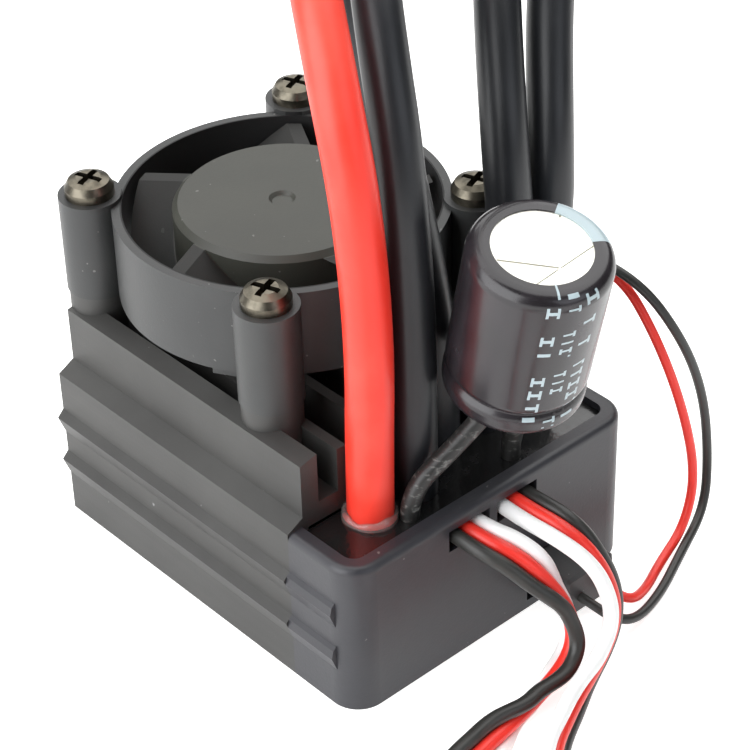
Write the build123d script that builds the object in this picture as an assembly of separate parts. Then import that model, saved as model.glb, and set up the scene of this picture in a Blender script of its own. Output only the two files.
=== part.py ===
"""Brushless motor speed controller: finned heat sink, potted nose, cooling fan and leads.

Millimetres, +Z up. The origin is the centre of the flat base. X runs across the case,
-Y is the nose where the leads come out, +Y is the rear.
"""
from build123d import *
import math
import os

os.makedirs("parts", exist_ok=True)

# ---- case ----
CASE_W = 33.5            # across the flat sides
CASE_L = 40.0            # nose to rear cover
NOSE_L = 8.0             # plastic nose in front of the heat sink
LIP_Z = 15.6             # top of the nose
CORNER_R = 2.8           # upright corners of the nose
WALL = 1.6               # plastic wall
FLOOR = 1.6              # plastic floor
LIP_DEPTH = 0.7          # resin lies this far under the lip
SEAT_GAP = 0.05          # gap between pieces that slide together

# ---- heat sink ----
SINK_WALL = 2.3          # side wall beside the boards
UPPER_INSET = 1.7        # the upper wall stands in from the case side
UPPER_WALL = 1.85
UPPER_Z = 21.9           # outer top edge of the upper wall
UPPER_CROWN = 0.4        # the top slopes up inwards by this
LEDGE_DROP = 0.9         # fall of the ledge under the upper wall
DECK_UNDER_Z = 15.2
DECK_T = 2.0
RIDGE_OUT = 0.7          # louvre ridges on the sides
RIDGE_FALL = 1.9         # height over which a ridge tapers back
RIDGE_TOPS = (11.6, 6.8)
RIDGE_NOSE_END = 2.3     # the ridges stop this far behind the front face
FIN_COUNT = 6
FIN_PITCH = 4.2
FIN_T = 1.0
FIN_TOP_Z = 21.6
NOTCH_X = (-1.3, 14.3)   # clearance for the motor wires in the front edge
NOTCH_L = 3.4

# ---- fan ----
FAN_Y = 7.0              # fan axis, behind the case centre
FAN_PITCH = 24.0         # screw spacing
FAN_H = 9.5
FAN_SEAT_Z = 23.9
POST_D = 5.7
RING_OR = 15.0
RING_T = 0.9
RING_LOW = 0.8           # the ring starts this far above the seat
RING_DIP = 0.4           # the ring's rim is this far below the posts
SPIDER_T = 1.2
SPIDER_R = 9.2
STRUT_W = 3.2
STRUT_COUNT = 3
STRUT_START = -30.0      # direction of the strut that carries the lead
HUB_R = 9.7
HUB_T = 0.9
HUB_TOP_DIP = 0.4        # hub face below the posts
HUB_LOW = 2.4            # hub skirt starts this far above the seat
BLADES = 5
BLADE_START = 61.0
BLADE_TIP_GAP = 0.5
BLADE_T = 0.8
BLADE_PITCH = 38.0
SHAFT_D = 1.5
BEARING_OD = 3.6
RUN_GAP = 0.03           # radial running clearance, shaft in bearing
TOWER_OD = 5.2
STATOR_R = 6.8
MAGNET_T = 1.4
FAN_BOARD_T = 0.6

# ---- fan screws ----
SCREW_D = 2.5
SCREW_L = 15.0
HEAD_D = 4.4
HEAD_H = 1.7
SCREW_GAP = 0.2
BOSS_D = 5.4
THREAD_GAP = 0.02        # radial, screw thread in its boss

# ---- boards ----
POWER_BOARD_Z = 11.2
POWER_BOARD_T = 1.4
CONTROL_BOARD_Z = 4.6
CONTROL_BOARD_T = 1.0
BOARD_GAP = 0.6          # board edge to wall
FET = (5.0, 6.0, 1.4)
FET_ROWS = 3
FET_COLUMNS = 4
FET_STEP = (6.2, 7.6)
SPACER_D = 3.0

# ---- power wires ----
WIRE_D = 4.1
CORE_D = 2.6
WIRE_FIT = 0.03          # radial, wire in its hole in the resin
WIRE_ROOT = 0.7          # resin under the end of the insulation
BATTERY_ROW_Y = -14.15
MOTOR_ROW_Y = -11.1
ROOT_Z = POWER_BOARD_Z + POWER_BOARD_T + WIRE_ROOT

# ---- ribbons and fan lead ----
RIBBON_TUBE_D = 2.0      # plain tube that stands for the flat three-wire ribbon
SLOT_W = 4.8
SLOT_H = 2.2
SLOT_Z = 13.2
FAN_WIRE_D = 0.9

# ---- fan port ----
PORT_X = 7.15
PORT_W = 6.6
PORT_Z = (0.9, 5.9)
PORT_DEPTH = 6.5
PORT_MID_Z = 3.0         # height of the pins
PLUG_GAP = 0.3
PLUG_OUT = 4.6           # the plug stands out of the nose
PLUG_L = 7.6
HEADER_L = 3.0
PIN_D = 0.64
PIN_PITCH = 2.5

# ---- capacitor ----
CAN_D = 12.2
CAN_L = 16.0
SLEEVE_T = 0.12
CAN_WALL = 0.35
CAN_BASE = (2.4, -19.3, 25.6)
CAN_LEAN = 13.8          # forward
CAN_TILT = 2.5           # sideways
BUNG_T = 1.5
CAN_FOOT_R = 1.0
CAN_SHOULDER_R = 1.3
GROOVE_Z = (1.5, 3.3)
GROOVE_DEPTH = 0.4
BARE_DISC_R = 4.2
SCORE_W = 0.2
SCORE_DEPTH = 0.12
VENT_SCORES = (((3.54, -2.3), (-3.75, -2.7)), ((-0.4, -2.45), (-3.9, 1.14)), ((-0.4, -2.45), (3.76, 1.82)))
CAP_LEAD_PITCH = 5.0
CAP_LEAD_D = 0.8
CAP_TUBE_D = 1.7
CAP_LEAD_ENDS = ((-7.1, -16.7), (5.0, -16.6))
CAP_LEAD_BENDS = (((-2.6, -18.0, 21.2), (-6.2, -17.0, 18.4)), ((5.2, -17.4, 20.0),))

# ---- end fittings ----
PLUG_W = 16.0
PLUG_D = 14.0
PLUG_H = 7.2
CONTACT_PITCH = 7.6      # between the two battery wires where they end
BULLET_D = 3.5
BULLET_L = 9.0
BULLET_NECK_L = 5.0
BULLET_SLEEVE_D = 5.0
SERVO = (7.8, 14.0, 2.6)
SERVO_PITCH = 2.54

# ---- switch box ----
BOX = (22.0, 12.0, 8.0)
BOX_WALL = 1.2
KNOB = (3.6, 2.6)
KNOB_TRAVEL = 2.0
KNOB_GAP = 0.2
BUTTON_D = 3.6

# ---- routes of the free leads, root first ----
ROUTES = {
    "battery_wire_positive": [
        (-9.3, BATTERY_ROW_Y, ROOT_Z), (-9.3, BATTERY_ROW_Y, 20.5), (-8.7, -14.0, 32),
        (-9.0, -13.3, 45), (-7.8, -9.2, 55.5), (-3.4, -1.8, 61.8), (1.2, 5.0, 69.5),
        (4.7, 10.3, 78.5), (6.6, 14.0, 88), (7.6, 16.0, 97.5)],
    "battery_wire_negative": [
        (-4.2, BATTERY_ROW_Y, ROOT_Z), (-4.2, BATTERY_ROW_Y, 20.5), (-4.1, -14.0, 33),
        (-3.8, -12.8, 46), (-1.1, -7.6, 56), (3.5, -1.3, 61.2), (8.2, 2.9, 69.4),
        (11.6, 7.1, 78.5), (13.397, 10.601, 88), (14.397, 12.601, 97.5)],
    "motor_wire_a": [
        (1.4, MOTOR_ROW_Y, ROOT_Z), (1.4, MOTOR_ROW_Y, 22), (0.4, -10.9, 32.5),
        (-1.2, -9.8, 43.5), (0.7, -4.2, 53.5), (5.3, 2.0, 57.3), (10.2, 8.2, 63.0),
        (13.6, 13.4, 71.0), (15.6, 16.8, 80.5), (16.8, 18.6, 90)],
    "motor_wire_b": [
        (6.6, MOTOR_ROW_Y, ROOT_Z), (6.6, MOTOR_ROW_Y, 22), (10.5, -11.0, 32.0),
        (10.7, -9.8, 41.5), (14.9, -4.6, 50), (19.6, 0.4, 54.7), (22.8, 4.4, 62),
        (24.4, 7.6, 71.2), (25.0, 9.8, 80.7), (25.2, 11.0, 90.2)],
    "motor_wire_c": [
        (11.6, MOTOR_ROW_Y, ROOT_Z), (11.6, MOTOR_ROW_Y, 22), (15.1, -11.2, 31.5),
        (15.8, -10.2, 40.5), (20.7, -5.0, 49.5), (25.6, -1.4, 54.5), (29.0, 1.2, 62),
        (30.6, 3.4, 71.2), (31.2, 4.8, 80.7), (31.4, 5.8, 90.2)],
    "switch_lead": [
        (2.4, -18.4, SLOT_Z), (2.4, -21.6, SLOT_Z), (3.0, -24.8, 12.8), (4.1, -27.3, 10.9),
        (4.9, -28.9, 7.6), (4.6, -29.8, 4.4), (2.2, -30.7, 2.2), (-3.5, -32.6, 1.6),
        (-10, -36, 1.1), (-13.5, -42.5, 1.1), (-12.0, -51, 1.4), (-6, -57.5, 2.2), (0.0, -60.6, 2.2)],
    "fan_lead_red": [
        (7.6, 3.36, 25.6), (14.4, -0.56, 25.6), (19.2, -7.6, 26.3), (21.0, -14.2, 25.3),
        (21.4, -18.4, 20.4), (22.9, -20.7, 13.0), (23.4, -22.3, 6.0), (21.2, -23.2, 1.5),
        (16.2, -24.6, 0.6), (12.6, -26.4, 1.1), (9.5, -27.5, 2.2), (8.4, -26.1, 3.0),
        (8.4, -24.6, 3.0)],
    "fan_lead_black": [
        (6.95, 2.24, 25.6), (14.35, -2.03, 25.6), (18.9, -9.5, 27.1), (21.0, -16.4, 25.7),
        (23.7, -19.6, 19.5), (26.3, -20.2, 12.5), (26.6, -21.0, 5.8), (24.4, -22.8, 1.6),
        (18.6, -25.0, 0.6), (13.6, -27.3, 0.6), (8.8, -28.8, 1.2), (6.3, -28.2, 2.5),
        (5.9, -26.3, 3.0), (5.9, -24.6, 3.0)],
}

# the receiver lead runs to one flat turn on the ground, wound by this rule
RECEIVER_START = [
    (-3.3, -18.4, SLOT_Z), (-3.3, -21.4, SLOT_Z), (-1.8, -24.2, 12.1), (0.0, -26.3, 9.3),
    (1.3, -27.6, 6.0), (1.2, -28.4, 3.3), (-0.9, -29.0, 1.5), (-6.2, -29.8, 1.1),
    (-14.0, -31.0, 1.1), (-24.0, -33.5, 1.1), (-34.0, -37.2, 1.1)]
TURN_CENTRE = (-35.5, -61.0)
TURN_R = 21.0
TURN_STEP = 26.0         # degrees from point to point
TURN_POINTS = 18
TURN_START = 107.0
TURN_CLOSING = 6.0       # the turn closes in by this in its first round, then faster


def turn_point(index):
    """A point of the put-away turn: a flat spiral that closes in as it goes round."""
    swept = index * TURN_STEP
    radius = TURN_R - TURN_CLOSING * (swept / 360) ** 3
    angle = math.radians(TURN_START + swept)
    return (TURN_CENTRE[0] + radius * math.cos(angle),
            TURN_CENTRE[1] + radius * math.sin(angle), 1.1)


ROUTES["receiver_lead"] = RECEIVER_START + [turn_point(i) for i in range(TURN_POINTS)]

DIAMETERS = {"switch_lead": RIBBON_TUBE_D, "receiver_lead": RIBBON_TUBE_D,
             "fan_lead_red": FAN_WIRE_D, "fan_lead_black": FAN_WIRE_D}

HALF_W = CASE_W / 2
FRONT_Y = -CASE_L / 2
SINK_Y = FRONT_Y + NOSE_L
REAR_Y = CASE_L / 2
RESIN_Z = LIP_Z - LIP_DEPTH
CAP_LEAD_END_Z = RESIN_Z - 0.8
SINK_IN = HALF_W - SINK_WALL
DECK_Z = DECK_UNDER_Z + DECK_T
FAN_TOP_Z = FAN_SEAT_Z + FAN_H
POST_XY = [(sx * FAN_PITCH / 2, FAN_Y + sy * FAN_PITCH / 2) for sx in (-1, 1) for sy in (-1, 1)]


def box(x, y, z):
    """A block from three (low, high) pairs."""
    size = Box(x[1] - x[0], y[1] - y[0], z[1] - z[0])
    return Pos((x[0] + x[1]) / 2, (y[0] + y[1]) / 2, (z[0] + z[1]) / 2) * size


def rod(radius, z, at=(0, 0)):
    """An upright cylinder from a (low, high) pair."""
    return Pos(at[0], at[1], (z[0] + z[1]) / 2) * Cylinder(radius, z[1] - z[0])


def tube(outer, inner, z, at=(0, 0)):
    """An upright tube."""
    return rod(outer, z, at) - rod(inner, (z[0] - 1, z[1] + 1), at)


def revolved(points, centre=(0, 0)):
    """A solid of revolution from (radius, height) points."""
    outline = Plane.XZ * make_face(Polyline(*points, close=True))
    return Pos(centre[0], centre[1], 0) * revolve(outline, Axis.Z)


def write(name, shape):
    """Write one node; a list becomes a group of separate solids."""
    if isinstance(shape, (list, tuple)):
        shape = Compound(children=[s.solid() for s in shape])
    export_step(shape, f"parts/{name}.step")


# ---- cords ----

def corner_radii(points):
    """The largest arc that each corner's two runs allow."""
    spots = [Vector(*p) for p in points]
    radii = []
    for before, here, after in zip(spots, spots[1:], spots[2:]):
        turn = math.radians((here - before).get_angle(after - here))
        shorter = min((here - before).length, (after - here).length)
        radii.append(0.45 * shorter / math.tan(turn / 2))
    return radii


def cord(name, diameter):
    """A round tube along a route of straight runs and tangent arcs."""
    points = ROUTES[name]
    radii = corner_radii(points)
    path = FilletPolyline(*points, radius=radii)
    start = Plane(origin=points[0], z_dir=Vector(*points[1]) - Vector(*points[0]))
    solid = sweep(start * Circle(diameter / 2), path=path.wire())
    section = math.pi * diameter ** 2 / 4
    print(f"{name}: length {path.length:.1f}, tightest arc {min(radii):.1f},",
          f"volume over section x length {solid.volume / (section * path.length):.4f}")
    return solid


def end_frame(name):
    """Plane at a cord's far end, its X along the cord, its Y level."""
    last = Vector(*ROUTES[name][-1])
    along = last - Vector(*ROUTES[name][-2])
    level = Vector(-along.Y, along.X, 0)
    return Plane(origin=last, x_dir=along, z_dir=along.cross(level))


# ---- case ----

def ridge_profile(side, lower_z):
    """Section of one louvre ridge in X and Z: a short slope out, a long slope back."""
    flat = side * HALF_W
    tip = side * (HALF_W + RIDGE_OUT)
    return [(side * (HALF_W - 0.4), lower_z), (flat, lower_z),
            (tip, lower_z - RIDGE_OUT), (flat, lower_z - RIDGE_OUT - RIDGE_FALL),
            (side * (HALF_W - 0.4), lower_z - RIDGE_OUT - RIDGE_FALL)]


def along_y(points, y):
    """Extrude an X, Z outline between two Y values."""
    face = make_face(Polyline(*[(p[0], y[0], p[1]) for p in points], close=True))
    return extrude(face, amount=y[1] - y[0], dir=(0, 1, 0))


def front_housing():
    """Moulded nose with its lip, and the floor that carries the boards under the sink."""
    block = box((-HALF_W, HALF_W), (FRONT_Y, SINK_Y), (0, LIP_Z))
    corners = block.edges().filter_by(Axis.Z).group_by(Axis.Y)[0]
    nose = fillet(corners, CORNER_R)
    rim = nose.faces().sort_by(Axis.Z)[-1].edges()
    rim = [e for e in rim if e.center().Y < SINK_Y - 0.01]
    nose = fillet(rim, 0.7)
    inner = box((-HALF_W + WALL, HALF_W - WALL), (FRONT_Y + WALL, SINK_Y + 1), (FLOOR, LIP_Z + 1))
    nose -= fillet(inner.edges().filter_by(Axis.Z).group_by(Axis.Y)[0], CORNER_R - WALL)
    for side in (-1, 1):
        for top in RIDGE_TOPS:
            ridge = along_y(ridge_profile(side, top), (FRONT_Y + RIDGE_NOSE_END, SINK_Y))
            end = ridge.edges().sort_by_distance((side * 2 * HALF_W, FRONT_Y, top))[0]
            nose += chamfer(end, 0.5)
    tray = box((-SINK_IN + SEAT_GAP, SINK_IN - SEAT_GAP), (SINK_Y - 1, REAR_Y - WALL), (0, FLOOR))
    nose += tray
    for x, y in SPACER_XY:
        nose += rod(SPACER_D / 2, (FLOOR, CONTROL_BOARD_Z), (x, y))
    for name in ("receiver_lead", "switch_lead"):
        x = ROUTES[name][0][0]
        nose -= box((x - SLOT_W / 2, x + SLOT_W / 2), (FRONT_Y - 1, FRONT_Y + WALL + 1),
                    (SLOT_Z - SLOT_H / 2, SLOT_Z + SLOT_H / 2))
    nose -= box((PORT_X - PORT_W / 2, PORT_X + PORT_W / 2), (FRONT_Y - 1, FRONT_Y + PORT_DEPTH), PORT_Z)
    return nose


SPACER_XY = [(sx * 10.6, y) for sx in (-1, 1) for y in (-9.0, 13.4)]


def heatsink_case():
    """Aluminium channel: louvred sides, deck, upper walls, fins and fan bosses."""
    upper_out = HALF_W - UPPER_INSET
    upper_in = upper_out - UPPER_WALL
    half = [(HALF_W, 0), (HALF_W, LIP_Z), (upper_out, LIP_Z + LEDGE_DROP),
            (upper_out, UPPER_Z), (upper_in, UPPER_Z + UPPER_CROWN), (upper_in, DECK_Z)]
    outline = half + [(-x, z) for x, z in reversed(half)]
    outline += [(-SINK_IN, 0), (-SINK_IN, DECK_UNDER_Z), (SINK_IN, DECK_UNDER_Z), (SINK_IN, 0)]
    sink = along_y(outline, (SINK_Y, REAR_Y))
    for side in (-1, 1):
        for top in RIDGE_TOPS:
            sink += along_y(ridge_profile(side, top), (SINK_Y, REAR_Y))
    for index in range(FIN_COUNT):
        x = (index - (FIN_COUNT - 1) / 2) * FIN_PITCH
        sink += box((x - FIN_T / 2, x + FIN_T / 2), (SINK_Y, REAR_Y), (DECK_Z - 0.5, FIN_TOP_Z))
    for x, y in POST_XY:
        sink += rod(BOSS_D / 2, (DECK_Z - 0.5, FAN_SEAT_Z), (x, y))
    sink -= box(NOTCH_X, (SINK_Y - 1, SINK_Y + NOTCH_L), (DECK_UNDER_Z - 1, UPPER_Z + 2))
    low = FAN_TOP_Z - SCREW_L - 0.5
    for x, y in POST_XY:
        sink -= rod(SCREW_D / 2 + THREAD_GAP, (low, FAN_SEAT_Z + 1), (x, y))
    return sink


def rear_cover():
    """Plastic plate that closes the channel behind the boards."""
    y = (REAR_Y - WALL + SEAT_GAP, REAR_Y)
    plate = box((-SINK_IN + SEAT_GAP, SINK_IN - SEAT_GAP), y, (0, DECK_UNDER_Z - SEAT_GAP))
    outer = plate.faces().sort_by(Axis.Y)[-1].edges()
    return chamfer(outer, 0.3)


def wire_roots(names):
    """Plan positions of the wire roots."""
    return [ROUTES[name][0][:2] for name in names]


WIRE_NAMES = [name for name in ROUTES if "wire" in name]


def potting():
    """Resin poured over the front of the power board, round the wires."""
    z = (POWER_BOARD_Z + POWER_BOARD_T, RESIN_Z)
    front = box((-HALF_W + WALL, HALF_W - WALL), (FRONT_Y + WALL, SINK_Y), z)
    front = fillet(front.edges().filter_by(Axis.Z).group_by(Axis.Y)[0], CORNER_R - WALL)
    rear = box((NOTCH_X[0], NOTCH_X[1] - SEAT_GAP), (SINK_Y - 0.5, SINK_Y + NOTCH_L), z)
    resin = front + rear
    for at in wire_roots(WIRE_NAMES):
        resin -= rod(WIRE_D / 2 + WIRE_FIT, (ROOT_Z, RESIN_Z + 1), at)
        resin -= rod(CORE_D / 2 + WIRE_FIT, (z[0] - 1, ROOT_Z + 1), at)
    for at in CAP_LEAD_ENDS:
        resin -= rod(CAP_TUBE_D / 2 + WIRE_FIT, (CAP_LEAD_END_Z, RESIN_Z + 1), at)
    return resin




def wire_cores():
    """Stripped ends soldered to the board."""
    z = (POWER_BOARD_Z + POWER_BOARD_T, ROOT_Z)
    return [rod(CORE_D / 2, z, at) for at in wire_roots(WIRE_NAMES)]


# ---- boards ----

BOARD_X = SINK_IN - BOARD_GAP
FET_Y0 = -3.4


def power_board():
    y = (FRONT_Y + WALL + BOARD_GAP, REAR_Y - WALL - BOARD_GAP)
    return box((-BOARD_X, BOARD_X), y, (POWER_BOARD_Z, POWER_BOARD_Z + POWER_BOARD_T))


def fet_centres():
    for column in range(FET_COLUMNS):
        for row in range(FET_ROWS):
            yield ((column - (FET_COLUMNS - 1) / 2) * FET_STEP[0], FET_Y0 + row * FET_STEP[1])


def mosfets():
    z = POWER_BOARD_Z + POWER_BOARD_T
    parts = []
    for x, y in fet_centres():
        body = box((x - FET[0] / 2, x + FET[0] / 2), (y - FET[1] / 2, y + FET[1] / 2),
                   (z, z + FET[2]))
        parts.append(chamfer(body.faces().sort_by(Axis.Z)[-1].edges(), 0.2))
    return parts


def thermal_pad():
    """Soft pad between the MOSFETs and the deck of the heat sink."""
    half_x = (FET_COLUMNS - 1) / 2 * FET_STEP[0] + FET[0] / 2
    y = (FET_Y0 - FET[1] / 2, FET_Y0 + (FET_ROWS - 1) * FET_STEP[1] + FET[1] / 2)
    low = POWER_BOARD_Z + POWER_BOARD_T + FET[2]
    return box((-half_x, half_x), y, (low, DECK_UNDER_Z))


def control_board():
    z = (CONTROL_BOARD_Z, CONTROL_BOARD_Z + CONTROL_BOARD_T)
    return box((-BOARD_X, BOARD_X), (-10.6, REAR_Y - WALL - BOARD_GAP), z)


def board_spacers():
    z = (CONTROL_BOARD_Z + CONTROL_BOARD_T, POWER_BOARD_Z)
    return [tube(SPACER_D / 2, 0.9, z, at) for at in SPACER_XY]


def microcontroller():
    z = CONTROL_BOARD_Z + CONTROL_BOARD_T
    chip = box((-3.5, 3.5), (-1.5, 5.5), (z, z + 1.0))
    return chamfer(chip.faces().sort_by(Axis.Z)[-1].edges(), 0.15)


def link_pins():
    """Header pins that join the two boards."""
    z = (CONTROL_BOARD_Z + CONTROL_BOARD_T, POWER_BOARD_Z)
    return [rod(PIN_D / 2, z, ((i - 3.5) * 2.0, 15.4)) for i in range(8)]


def voltage_coil():
    """Drum inductor of the receiver supply."""
    z = CONTROL_BOARD_Z + CONTROL_BOARD_T
    return revolved([(0, z), (2.9, z), (2.9, z + 0.6), (1.9, z + 0.9), (1.9, z + 2.5),
                     (2.9, z + 2.8), (2.9, z + 3.4), (0, z + 3.4)], (7.0, 9.0))


# ---- fan ----

def fan_frame():
    """Round wall on four posts, with a spider that carries the bearing tower."""
    ring_z = (FAN_SEAT_Z + RING_LOW, FAN_TOP_Z - RING_DIP)
    at = (0, FAN_Y)
    frame = tube(RING_OR, RING_OR - RING_T, ring_z, at)
    bore = rod(RING_OR - RING_T, (FAN_SEAT_Z - 1, FAN_TOP_Z + 1), at)
    for x, y in POST_XY:
        frame += rod(POST_D / 2, (FAN_SEAT_Z, FAN_TOP_Z), (x, y)) - bore
        web = box((-2.0, 2.0), (-1.2, 1.2), (FAN_SEAT_Z + 2.0, FAN_TOP_Z - 1.6))
        toward = math.degrees(math.atan2(y - FAN_Y, x))
        frame += Pos(0, FAN_Y, 0) * Rot(0, 0, toward) * Pos(RING_OR, 0, 0) * web - bore
    frame += rod(SPIDER_R, (FAN_SEAT_Z, FAN_SEAT_Z + SPIDER_T), at)
    for index in range(STRUT_COUNT):
        angle = STRUT_START + index * 360 / STRUT_COUNT
        strut = box((SPIDER_R - 1, RING_OR - RING_T / 2), (-STRUT_W / 2, STRUT_W / 2),
                    (FAN_SEAT_Z, FAN_SEAT_Z + SPIDER_T))
        frame += Pos(0, FAN_Y, 0) * Rot(0, 0, angle) * strut
    frame += rod(TOWER_OD / 2, (FAN_SEAT_Z, TOWER_TOP_Z), at)
    frame -= rod(BEARING_OD / 2, (FAN_SEAT_Z + 0.6, TOWER_TOP_Z + 1), at)
    for x, y in POST_XY:
        frame -= rod(SCREW_D / 2 + SCREW_GAP, (FAN_SEAT_Z - 1, FAN_TOP_Z + 1), (x, y))
    door = box((RING_OR - 2.2, RING_OR + 1), (-1.5, 1.5),
               (FAN_SEAT_Z + SPIDER_T, FAN_SEAT_Z + SPIDER_T + 1.4))
    frame -= Pos(0, FAN_Y, 0) * Rot(0, 0, STRUT_START) * door
    return frame


TOWER_TOP_Z = FAN_TOP_Z - 2.6
HUB_Z = (FAN_SEAT_Z + HUB_LOW, FAN_TOP_Z - HUB_TOP_DIP)
TIP_R = RING_OR - RING_T - BLADE_TIP_GAP


def fan_rotor():
    """Hub cup with five pitched blades."""
    low, high = HUB_Z
    hub = revolved([(0, high - HUB_T), (HUB_R - HUB_T, high - HUB_T), (HUB_R - HUB_T, low),
                    (HUB_R, low), (HUB_R, high - 0.5), (HUB_R - 0.5, high), (1.2, high),
                    (0.9, high - 0.3), (0, high - 0.3)])
    hub += rod(1.6, (TOWER_TOP_Z + 0.4, high - HUB_T / 2))
    hub -= rod(SHAFT_D / 2, (TOWER_TOP_Z - 1, high - HUB_T))
    sweep_zone = rod(TIP_R, (low + 0.3, high - 0.5)) - rod(HUB_R - 0.2, (low - 1, high + 1))
    reach = TIP_R - HUB_R + 2
    slab = Box(reach, 14.0, BLADE_T)
    for index in range(BLADES):
        angle = BLADE_START + index * 360 / BLADES
        place = Rot(0, 0, angle) * Pos(HUB_R + reach / 2 - 1, 0, (low + high) / 2 - 0.1)
        hub += (place * Rot(-BLADE_PITCH, 0, 0) * slab) & sweep_zone
    return Pos(0, FAN_Y, 0) * hub


def rotor_magnet():
    outer = HUB_R - HUB_T
    return tube(outer, outer - MAGNET_T, (HUB_Z[0] + 0.2, HUB_Z[1] - HUB_T - 0.6), (0, FAN_Y))


def fan_shaft():
    z = (FAN_SEAT_Z + 0.9, HUB_Z[1] - HUB_T)
    return rod(SHAFT_D / 2, z, (0, FAN_Y))


def fan_bearing():
    z = (FAN_SEAT_Z + 0.8, TOWER_TOP_Z - 0.2)
    return tube(BEARING_OD / 2, SHAFT_D / 2 + RUN_GAP, z, (0, FAN_Y))


STATOR_Z = (FAN_SEAT_Z + 3.2, FAN_SEAT_Z + 5.6)


def fan_stator():
    """Laminated core with four poles."""
    core = tube(3.7, TOWER_OD / 2, STATOR_Z)
    rim = tube(STATOR_R, STATOR_R - 0.9, STATOR_Z)
    for index in range(4):
        arm = box((3.2, STATOR_R - 0.4), (-0.8, 0.8), STATOR_Z)
        core += Rot(0, 0, 90 * index) * arm
        gap = box((STATOR_R - 2, STATOR_R + 1), (-0.7, 0.7), (0, 60))
        rim -= Rot(0, 0, 90 * index + 45) * gap
    return Pos(0, FAN_Y, 0) * (core + rim)


def fan_coils():
    """A winding round each arm of the core."""
    low, high = STATOR_Z
    coils = []
    for index in range(4):
        wound = box((3.9, STATOR_R - 1.1), (-1.5, 1.5), (low - 0.6, high + 0.6))
        wound -= box((0, 20), (-0.82, 0.82), (low - 0.02, high + 0.02))
        coils.append(Pos(0, FAN_Y, 0) * Rot(0, 0, 90 * index) * wound)
    return coils


def fan_board():
    z = FAN_SEAT_Z + SPIDER_T
    return tube(8.4, TOWER_OD / 2 + SEAT_GAP, (z, z + FAN_BOARD_T), (0, FAN_Y))


def fan_screws():
    """Pan-head cross-recess screws through the posts into the bosses."""
    screws = []
    base = FAN_TOP_Z
    for x, y in POST_XY:
        head = revolved([(0, base), (HEAD_D / 2, base), (HEAD_D / 2, base + HEAD_H * 0.45),
                         (HEAD_D / 2 * 0.84, base + HEAD_H * 0.82), (HEAD_D / 2 * 0.5, base + HEAD_H),
                         (0, base + HEAD_H)])
        for turn in (0, 90):
            head -= Rot(0, 0, turn + 20) * box((-1.3, 1.3), (-0.3, 0.3), (base + 0.7, base + 5))
        shank = rod(SCREW_D / 2, (base - SCREW_L, base + 0.1))
        screws.append(Pos(x, y, 0) * (head + shank))
    return screws


# ---- fan port ----

def fan_header():
    """Socket block behind the port, with two pins."""
    back = FRONT_Y - PLUG_OUT + PLUG_L
    x = (PORT_X - PORT_W / 2 + PLUG_GAP, PORT_X + PORT_W / 2 - PLUG_GAP)
    block = box(x, (back, back + HEADER_L), (FLOOR, PORT_Z[1] - PLUG_GAP))
    for pin in port_pins(0):
        block -= pin
    return block


def port_pins(grow):
    """The two pins, or the holes they need in the plug."""
    y = (FRONT_Y - PLUG_OUT + 3.0, FRONT_Y - PLUG_OUT + PLUG_L + HEADER_L)
    half = PIN_D / 2 + grow
    pins = []
    for side in (-1, 1):
        x = PORT_X + side * PIN_PITCH / 2
        pins.append(box((x - half, x + half), y, (PORT_MID_Z - half, PORT_MID_Z + half)))
    return pins


def fan_header_pins():
    return port_pins(0)


def fan_plug():
    """Two-way plug pushed over the header pins."""
    x = (PORT_X - PORT_W / 2 + PLUG_GAP, PORT_X + PORT_W / 2 - PLUG_GAP)
    z = (PORT_Z[0] + PLUG_GAP, PORT_Z[1] - PLUG_GAP)
    y = (FRONT_Y - PLUG_OUT, FRONT_Y - PLUG_OUT + PLUG_L)
    body = box(x, y, z)
    body = fillet(body.edges().filter_by(Axis.Y), 0.5)
    body = chamfer(body.faces().sort_by(Axis.Y)[0].edges(), 0.3)
    for hole in port_pins(0.05):
        body -= hole
    return body


# ---- capacitor ----

CAN_FRAME = Location(CAN_BASE) * Rot(CAN_LEAN, 0, 0) * Rot(0, -CAN_TILT, 0)


def can_form(radius, grow):
    """The can's outer form: rolled base, rolled groove and rounded shoulder."""
    r = radius + grow
    foot = r - CAN_FOOT_R
    neck = r - CAN_SHOULDER_R
    top = CAN_L + grow
    turn = 1 - math.sqrt(0.5)
    wall = Curve() + ThreePointArc((foot, -grow), (r - turn * CAN_FOOT_R, turn * CAN_FOOT_R - grow),
                                   (r, CAN_FOOT_R - grow))
    wall += Line((r, CAN_FOOT_R - grow), (r, GROOVE_Z[0]))
    wall += Spline((r, GROOVE_Z[0]), (r - GROOVE_DEPTH, sum(GROOVE_Z) / 2), (r, GROOVE_Z[1]),
                   tangents=((0, 1), (0, 1)))
    wall += Line((r, GROOVE_Z[1]), (r, top - CAN_SHOULDER_R))
    wall += ThreePointArc((r, top - CAN_SHOULDER_R), (r - turn * CAN_SHOULDER_R, top - turn * CAN_SHOULDER_R),
                          (neck, top))
    wall += Polyline((neck, top), (0, top), (0, -grow), (foot, -grow))
    return revolve(Plane.XZ * make_face(wall), Axis.Z)


def capacitor_can():
    """Drawn aluminium can, open at the base, with a scored vent in the top."""
    radius = CAN_D / 2 - SLEEVE_T
    can = can_form(radius, 0) - rod(radius - GROOVE_DEPTH - CAN_WALL, (-1, CAN_L - 0.4))
    for start, end in VENT_SCORES:
        run = (end[0] - start[0], end[1] - start[1])
        score = box((0, math.hypot(*run)), (-SCORE_W / 2, SCORE_W / 2), (CAN_L - SCORE_DEPTH, CAN_L + 1))
        can -= Pos(*start, 0) * Rot(0, 0, math.degrees(math.atan2(run[1], run[0]))) * score
    return CAN_FRAME * can


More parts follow.
